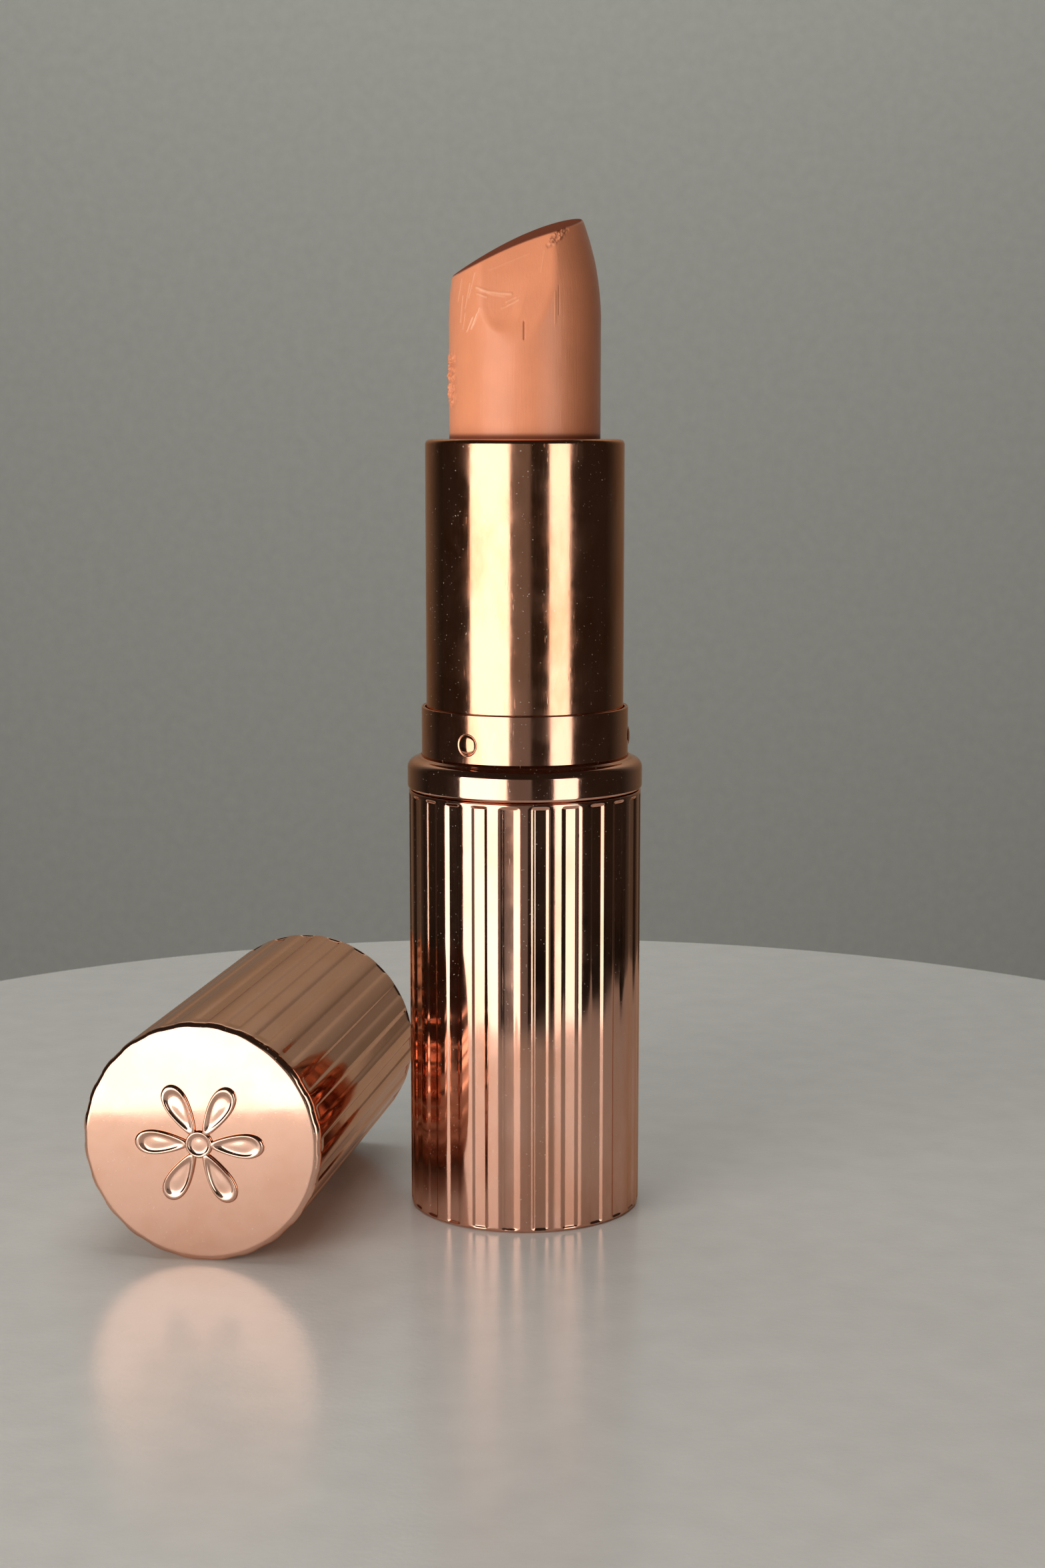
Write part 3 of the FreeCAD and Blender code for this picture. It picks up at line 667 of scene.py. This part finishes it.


# Scratches on the bullet's front: points (x, z), width, and height. Below 0 it is a groove.
# Raised scratches are painted paler as a painted highlight, grooves darker as painted shade.
STROKES = (
    (((-3.95, 78.2), (-3.0, 77.85), (-2.0, 77.7), (-1.1, 77.65)), 0.07, 0.07),
    (((-3.9, 77.7), (-3.1, 77.4)), 0.05, 0.04),
    (((-4.4, 74.9), (-3.9, 76.1)), 0.06, 0.06),
    (((-4.75, 74.7), (-4.3, 75.8)), 0.05, 0.05),
    (((-1.5, 77.0), (-0.7, 77.4)), 0.05, 0.04),
    (((-1.4, 76.7), (-0.5, 77.2)), 0.05, 0.035),
    (((-5.3, 75.5), (-5.1, 77.6)), 0.05, 0.035),
    (((-4.9, 76.6), (-4.5, 78.6)), 0.05, 0.03),
    (((-4.6, 77.4), (-4.1, 79.4)), 0.045, 0.03),
    (((-4.2, 75.2), (-3.7, 76.6)), 0.045, 0.04),
    (((-5.1, 74.9), (-4.9, 76.2)), 0.045, 0.03),
    (((-5.5, 77.2), (-5.2, 79.0)), 0.045, 0.03),
    (((-3.7, 78.0), (-2.6, 77.6), (-1.6, 77.45)), 0.045, 0.03),
    (((-1.9, 76.5), (-0.9, 76.9)), 0.045, 0.03),
    (((1.3, 79.4), (1.6, 81.2)), 0.05, 0.015),
    (((-2.9, 79.6), (0.4, 80.9)), 0.05, 0.015),
    (((-0.08, 75.4), (-0.08, 74.0)), 0.06, -0.10),
    (((2.45, 77.8), (2.45, 75.3)), 0.04, 0.03),
    (((2.75, 78.3), (2.75, 76.0)), 0.04, -0.03),
)


# Heights between which the ring of painted shadow ends, and the chips begin and end.
RING_SHADOW = (66.15, 66.55)
CHIPS_LOW = (68.4, 69.3)
CHIPS_HIGH = (72.4, 73.4)

# Middle of the crumbled spot (x, z); size, depth and painted shade in the hollows of the lumps, in chips
# and in crumbs.
CRUMBS_PLACE = (2.65, 82.25)
CHIP_LUMPS = (0.42, 0.30, 0.25)
CRUMB_LUMPS = (0.34, 0.20, 0.60)
UNEVEN_SIZE = 1.6
UNEVEN_DEPTH = 0.010


def lumps(point, size):
    """Noise in two sizes, about -1 to 1, at a point."""
    place = Vector(point) / size
    return noise.noise(place) + 0.5 * noise.noise(place * 2.3 + Vector((7.1, 3.3, 1.9)))


def damage_masks(points):
    """Where the bullet is chipped on its left edge, and crumbled below its tip."""
    x, y, z = points[..., 0], points[..., 1], points[..., 2]
    front = 1 - smooth_step(-1.2, 0.9, y)
    chips = smooth_step(*CHIPS_LOW, z) * (1 - smooth_step(*CHIPS_HIGH, z))
    chips = chips * (1 - smooth_step(-6.05, -5.55, x)) * front
    right, above = x - CRUMBS_PLACE[0], z - CRUMBS_PLACE[1]
    spot = np.hypot(right / 1.05, (above - 0.8 * right) / 0.60)
    crumbs = (1 - smooth_step(0.45, 1.05, spot)) * (y < 0)
    return chips, crumbs


def painted_shade(points):
    """Painted shade on the slanted top, and a painted shadow ring where the bullet leaves the tube."""
    x, y, z = points[..., 0], points[..., 1], points[..., 2]
    # The slanted top and its upper edge are darkened: painted shade.
    top = smooth_step(-0.16, -0.02, z - top_height(x, y))
    # A ring of painted shadow just above the tube's rim.
    ring = 1 - smooth_step(*RING_SHADOW, z)
    return np.maximum(top, 0.9 * ring)


def weather(points, outward):
    """Add strokes, chips and crumbs to the bullet's skin; also return the painted shade and highlight at
    each point.
    """
    shift = np.zeros(points.shape[:-1])
    painted_shade_and_highlight = np.zeros(points.shape[:-1])
    for path, width, height in STROKES:
        mark = stroke(points, path, width, height)
        shift += mark
        # Raised strokes get a painted highlight, grooves get painted shade.
        painted_shade_and_highlight -= np.clip(mark / 0.10, -0.4, 0.45)
    chips, crumbs = damage_masks(points)
    painted_shade_and_highlight += painted_shade(points)
    for mask, (size, depth, pit_shade) in ((chips, CHIP_LUMPS), (crumbs, CRUMB_LUMPS)):
        for index in zip(*np.nonzero(mask > 0.01)):
            lump = lumps(points[index], size)
            shift[index] += mask[index] * depth * lump
            # Hollows of the lumps are darkened: painted shade.
            painted_shade_and_highlight[index] += mask[index] * pit_shade * min(1.0, max(0.0, 0.35 - 1.6 * lump))
    uneven = np.zeros(points.shape[:-1])
    for index in zip(*np.nonzero(points[..., 2] > 65.0)):
        uneven[index] = UNEVEN_DEPTH * lumps(points[index], UNEVEN_SIZE)
    return points + outward * (shift + uneven)[..., None], np.clip(painted_shade_and_highlight, -1, 1)


def hidden_rows(turn):
    """Rows of the bullet inside the tube, from its foot up."""
    foot = BULLET_LOW.z
    lower = [(0.0, foot), (BULLET_RADIUS - 0.3, foot), (BULLET_RADIUS - 0.05, foot + 0.1)]
    lower += [(BULLET_RADIUS, foot + 0.4), (BULLET_RADIUS, 60.0), (BULLET_RADIUS, 64.8)]
    rows = []
    for radius, height in lower:
        level = np.full(turn.shape, height)
        rows.append(np.stack([radius * np.cos(turn), radius * np.sin(turn), level], -1))
    return np.array(rows)


def skin_aims(turn):
    """Where the skin is looked for: rows up the side, then over the top, crowded at its edge."""
    edge_z = edge_heights(turn)
    edge_r = flank_radius(turn, edge_z)
    upward = np.concatenate([
        np.linspace(0, 0.40, 60, endpoint=False),
        np.linspace(0.40, 0.97, 132, endpoint=False),
        np.linspace(0.97, 1.0, 18),
    ])
    inward = np.concatenate([np.linspace(0.006, 0.12, 14, endpoint=False), np.linspace(0.12, 1.0, 34)])
    aims = []
    for share in upward:
        height = SKIN_START + (edge_z - SKIN_START) * share
        radius = flank_radius(turn, height)
        aims.append(np.stack([radius * np.cos(turn), radius * np.sin(turn), height], -1))
    for share in inward:
        x = edge_r * np.cos(turn) * (1 - share)
        y = edge_r * np.sin(turn) * (1 - share)
        aims.append(np.stack([x, y, top_height(x, y)], -1))
    return np.array(aims)


def paint_shade_and_highlight(data, grid, marks):
    """Store the painted shade (above 0) or painted highlight (below 0) at each vertex."""
    found = {}
    for place, mark in zip((grid.reshape(-1, 3) * MM).astype(np.float32), marks.reshape(-1)):
        if abs(mark) > 0.02:
            found[tuple(np.round(place, 7))] = float(mark)
    attribute = data.attributes.new("painted_shade_and_highlight", "FLOAT", "POINT")
    for vertex in data.vertices:
        key = tuple(np.round(np.array(vertex.co, dtype=np.float32), 7))
        attribute.data[vertex.index].value = found.get(key, 0.0)


def build_bullet():
    """Bullet: moulded side, worn face, slanted top, weathered skin with painted shade and highlights."""
    turn = bullet_turns()
    hidden = hidden_rows(turn)
    skin = solve_rays(skin_aims(turn))
    outward = skin - np.array([0.0, 0.0, RAY_START])
    outward[..., 2] *= 0.3
    outward = outward / np.linalg.norm(outward, axis=-1, keepdims=True)
    outward[-1] = (0, 0, 1)
    skin, painted_shade_and_highlight = weather(skin, outward)
    skin[-1] = skin[-1].mean(axis=0)
    grid = np.concatenate([hidden, skin])
    data = grid_mesh("bullet_look", grid, joined_rows=False)
    paint_shade_and_highlight(data, grid, np.concatenate([np.zeros(hidden.shape[:2]), painted_shade_and_highlight]))
    finish_mesh("bullet_look", data, "carrier", ["bullet"], WAX)


# Cap


def cap_matrix():
    """The lying cap's own frame: +Z from the mouth to the closed end, +Y up."""
    across = -Vector(TIP_JOINT["axis"])
    up = Vector((0, 0, 1))
    along = across.cross(up)
    mouth = Vector(TIP_JOINT["pos_m"])
    mouth.z = (LINER_LOW.z + LINER_HIGH.z) / 2 * MM
    matrix = Matrix((across, up, along)).transposed().to_4x4()
    matrix.translation = mouth
    return matrix


CAP_PLACE = cap_matrix()


def crown(radius):
    """Height of the cap's slightly domed end."""
    return CAP_LENGTH - CAP_CROWN * (radius / CASE_RADIUS) ** 2


def build_cap_shell():
    """Fluted cap with a domed, rounded end."""
    inner_end = CAP_LENGTH - CAP_END_WALL
    dome = [(radius, crown(radius), 0) for radius in CAP_DOME_RADII]
    edge_z = crown(CASE_RADIUS)
    corners = [
        (0.0, inner_end, 0),
        (SHELL_BORE, inner_end - 0.2, 0.5),
        (SHELL_BORE, 0, 0.05),
        (CASE_RADIUS, 0, 0.30),
        (CASE_RADIUS, 0.44, 0),
        (CASE_RADIUS, 0.60, 0),
        *[(CASE_RADIUS, edge_z - drop, 0) for drop in CAP_END_DROPS],
        (CASE_RADIUS, edge_z, CAP_EDGE_ROUND),
        *dome,
    ]
    band = 180.0 / FLUTES
    change = flute_change(band, cap_fade)
    data = lathe("cap_shell_look", section(corners, 12), fluted_turns(band), change)
    finish_mesh("cap_shell_look", data, "cap", ["cap_shell"], CAP_ROSE, CAP_PLACE)


def build_cap_liner():
    """Plastic liner with a rounded mouth edge and a closed inner end."""
    corners = [
        (CAP_LINER_BORE, CAP_LINER_INSET, 0.12),
        (SHELL_BORE - 0.02, CAP_LINER_INSET, 0.08),
        (SHELL_BORE - 0.02, CAP_DEPTH + 0.8, 0.1),
        (0.0, CAP_DEPTH + 0.8, 0),
        (0.0, CAP_DEPTH, 0),
        (CAP_LINER_BORE, CAP_DEPTH, 0.6),
    ]
    data = lathe("cap_liner_look", section(corners, 6), even_turns(192))
    finish_mesh("cap_liner_look", data, "cap", ["cap_liner"], LINER, CAP_PLACE)


def petal_outline():
    """Points of one petal: narrow at the rosette's middle, widest past its half, round at the tip."""
    share = np.linspace(0, 2 * math.pi, 120, endpoint=False)
    along = (1 - np.cos(share)) / 2
    width = PETAL_HALF_WIDTH * np.sin(share) * (0.42 + 0.58 * along ** 1.2)
    reach = PETAL_INNER + (PETAL_OUTER - PETAL_INNER) * along
    return reach, width


# Rings of a raised cell, from its foot to its middle: share of its outline, and share of its relief.
RELIEF_RINGS = (
    (1.00, -0.30), (1.00, 0.00), (0.985, 0.45), (0.95, 0.75), (0.90, 0.95), (0.84, 1.00), (0.77, 0.95),
    (0.70, 0.72), (0.62, 0.55), (0.50, 0.50), (0.35, 0.52), (0.18, 0.56), (0.0, 0.58),
)


def relief_cells(reach, width, middle, turn):
    """Rows of points from an outline's foot over its rounded rim to its dished middle, on the dome."""
    rows = []
    for share, lift in RELIEF_RINGS:
        x = middle + (reach - middle) * share
        y = width * share
        spun_x = x * math.cos(turn) - y * math.sin(turn)
        spun_y = x * math.sin(turn) + y * math.cos(turn)
        rows.append(np.stack([spun_x, spun_y, crown(np.hypot(x, y)) + lift * RELIEF], -1))
    return np.array(rows)


def build_emblem():
    """Rosette in rounded relief: petals with a raised rim round a button."""
    reach, width = petal_outline()
    share = np.linspace(0, 2 * math.pi, 96, endpoint=False)
    turns = [math.radians(k * 360 / PETALS) for k in range(PETALS)]
    cells = [relief_cells(reach, width, PETAL_MIDDLE, turn) for turn in turns]
    cells.append(relief_cells(BUTTON_RADIUS * np.cos(share), BUTTON_RADIUS * np.sin(share), 0.0, 0.0))
    whole = bmesh.new()
    for cell in cells:
        part = grid_mesh("emblem_cell", cell, joined_rows=False)
        whole.from_mesh(part)
        bpy.data.meshes.remove(part)
    data = bpy.data.meshes.new("cap_emblem_look")
    bmesh.ops.recalc_face_normals(whole, faces=whole.faces)
    whole.to_mesh(data)
    whole.free()
    finish_mesh("cap_emblem_look", data, "cap", ["cap_emblem"], EMBLEM, CAP_PLACE)


def build_bottom():
    """Bottom plug with a rounded recess, and the blank label in it."""
    low = PLUG_LOW.z
    plug = [
        (0.0, PLUG_HIGH.z, 0),
        (0.0, low + RECESS_DEPTH, 0),
        (RECESS_RADIUS, low + RECESS_DEPTH, 0.05),
        (RECESS_RADIUS + 0.08, low, 0.06),
        (FOOT_OPENING - 0.05, low, 0.08),
        (FOOT_OPENING - 0.05, FOOT_LIP, 0),
        (SHELL_BORE - 0.02, FOOT_LIP, 0.05),
        (SHELL_BORE - 0.02, PLUG_HIGH.z, 0.05),
    ]
    data = lathe("bottom_plug_look", section(plug, 4), even_turns(192))
    finish_mesh("bottom_plug_look", data, "base", ["bottom_plug"], DARK)
    label = [
        (0.0, low + RECESS_DEPTH, 0),
        (0.0, low + LABEL_INSET, 0),
        (LABEL_RADIUS, low + LABEL_INSET, 0.03),
        (LABEL_RADIUS, low + RECESS_DEPTH, 0),
    ]
    data = lathe("base_label_look", section(label, 3), even_turns(192))
    finish_mesh("base_label_look", data, "base", ["base_label"], LABEL)


def dress_cad_nodes():
    """Materials for the CAD nodes that are shown as they are."""
    dressed = {
        "base_weight": STEEL,
        "cap_weight": STEEL,
        "base_liner": IVORY,
        "guide_tube": IVORY,
        "retaining_ring": IVORY,
        "spiral_tube": IVORY,
        "elevator_cup": IVORY,
        "brake_ring": RUBBER,
    }
    for name, material in dressed.items():
        node = frame["nodes"][name]
        node.data.materials.clear()
        node.data.materials.append(material)


# Stage


def stage_plane(name, centre, size, turn, material):
    """A flat rectangle, centred at a point in metres."""
    data = bpy.data.meshes.new(name)
    half_x, half_y = size[0] / 2, size[1] / 2
    corners = [(-half_x, -half_y, 0), (half_x, -half_y, 0), (half_x, half_y, 0), (-half_x, half_y, 0)]
    data.from_pydata(corners, [], [(0, 1, 2, 3)])
    plane = bpy.data.objects.new(name, data)
    bpy.context.scene.collection.objects.link(plane)
    plane.location = centre
    plane.rotation_euler = turn
    data.materials.append(material)


def round_table(material):
    """Pale round table top with a rounded edge, set back so that its front edge is below the picture."""
    edge = [(0.0, 0.0, 0), (0.0, -12.0, 0), (TABLE_RADIUS, -12.0, 3.0), (TABLE_RADIUS, 0.0, 3.0)]
    data = lathe("table", section(edge, 6), even_turns(256))
    data.transform(Matrix.Translation((0, TABLE_CENTRE * MM, -0.00002)))
    for polygon in data.polygons:
        polygon.use_smooth = True
    table = bpy.data.objects.new("table", data)
    bpy.context.scene.collection.objects.link(table)
    data.materials.append(material)


def add_softbox(name, turn, distance, size, height, power, colour):
    """A rectangular area light that faces the object's axis; turn 0 is the camera's side, 90 its right."""
    light = bpy.data.lights.new(name, "AREA")
    light.shape = "RECTANGLE"
    light.size, light.size_y = size
    light.energy = power
    light.color = colour
    lamp = bpy.data.objects.new(name, light)
    bpy.context.scene.collection.objects.link(lamp)
    angle = math.radians(turn)
    lamp.location = (distance * math.sin(angle), -distance * math.cos(angle), height)
    aim = Vector((0, 0, height)) - lamp.location
    lamp.rotation_euler = aim.to_track_quat("-Z", "Y").to_euler()
    lamp.visible_camera = False
    return lamp


def build_stage():
    """Pale round table and backdrop, softboxes in front, fill lights without highlights, a dim room."""
    floor = plastic("table_paint", (0.88, 0.87, 0.84), 0.22, 0.5, 0.012)
    ground = plastic("ground_paint", (0.20, 0.19, 0.18), 0.8, 3.0, 0.01)
    wall = plastic("wall_paint", (0.64, 0.655, 0.62), 0.7, 3.0, 0.01)
    round_table(floor)
    stage_plane("ground", (0, 0, -0.40), (4.0, 4.0), (0, 0, 0), ground)
    stage_plane("backdrop", (0, 0.70, 0.5), (4.0, 1.8), (math.pi / 2, 0, 0), wall)
    add_softbox("left_light", -41, 0.30, (0.265, 0.28), 0.01, 0.66, WARM)
    right_light = add_softbox("right_light", 40, 0.30, (0.128, 0.28), 0.01, 0.26, WARM)
    right_light.visible_diffuse = False
    right_fill = add_softbox("right_fill", 27, 0.30, (0.10, 0.20), 0.03, 0.15, AMBER_FILL)
    right_fill.visible_glossy = False
    add_softbox("middle_light", -6, 0.32, (0.14, 0.28), 0.01, 0.018, WARM)
    left_fill = add_softbox("left_fill", -42, 0.45, (0.30, 0.22), 0.06, 0.95, WARM_FILL)
    left_fill.visible_glossy = False
    top_light = add_softbox("top_light", 0, 0.001, (0.4, 0.4), 0.60, 0.85, (1, 0.985, 0.96))
    top_light.rotation_euler = (0, 0, 0)
    top_light.visible_glossy = False
    back_light = add_softbox("back_light", 180, 0.30, (0.7, 0.2), 0.80, 3.3, (1, 1, 0.97))
    back_light.rotation_euler = (math.radians(62), 0, 0)
    back_light.visible_glossy = False
    world = bpy.data.worlds.new("room")
    bpy.context.scene.world = world
    world.use_nodes = True
    background = world.node_tree.nodes["Background"]
    background.inputs["Color"].default_value = ROOM_COLOUR
    background.inputs["Strength"].default_value = ROOM_STRENGTH


def set_colour():
    """Plain display curve, so that bright metal keeps its warmth and contrast."""
    bpy.context.scene.view_settings.view_transform = "Standard"
    bpy.context.scene.view_settings.look = "None"


def build_camera():
    """Camera level with the tube's rim, looking down by eight degrees."""
    data = bpy.data.cameras.new("camera")
    data.lens = CAMERA_LENS
    data.sensor_width = 36.0
    data.clip_start = 0.01
    data.clip_end = 20.0
    camera = bpy.data.objects.new("camera", data)
    bpy.context.scene.collection.objects.link(camera)
    camera.location = CAMERA_PLACE
    camera.rotation_euler = (math.radians(CAMERA_TILT), 0, 0)
    bpy.context.scene.camera = camera


build_base_shell()
build_shoulder_ring()
build_collar()
build_tube()
build_bullet()
build_cap_shell()
build_cap_liner()
build_emblem()
build_bottom()
dress_cad_nodes()
build_stage()
build_camera()
set_colour()
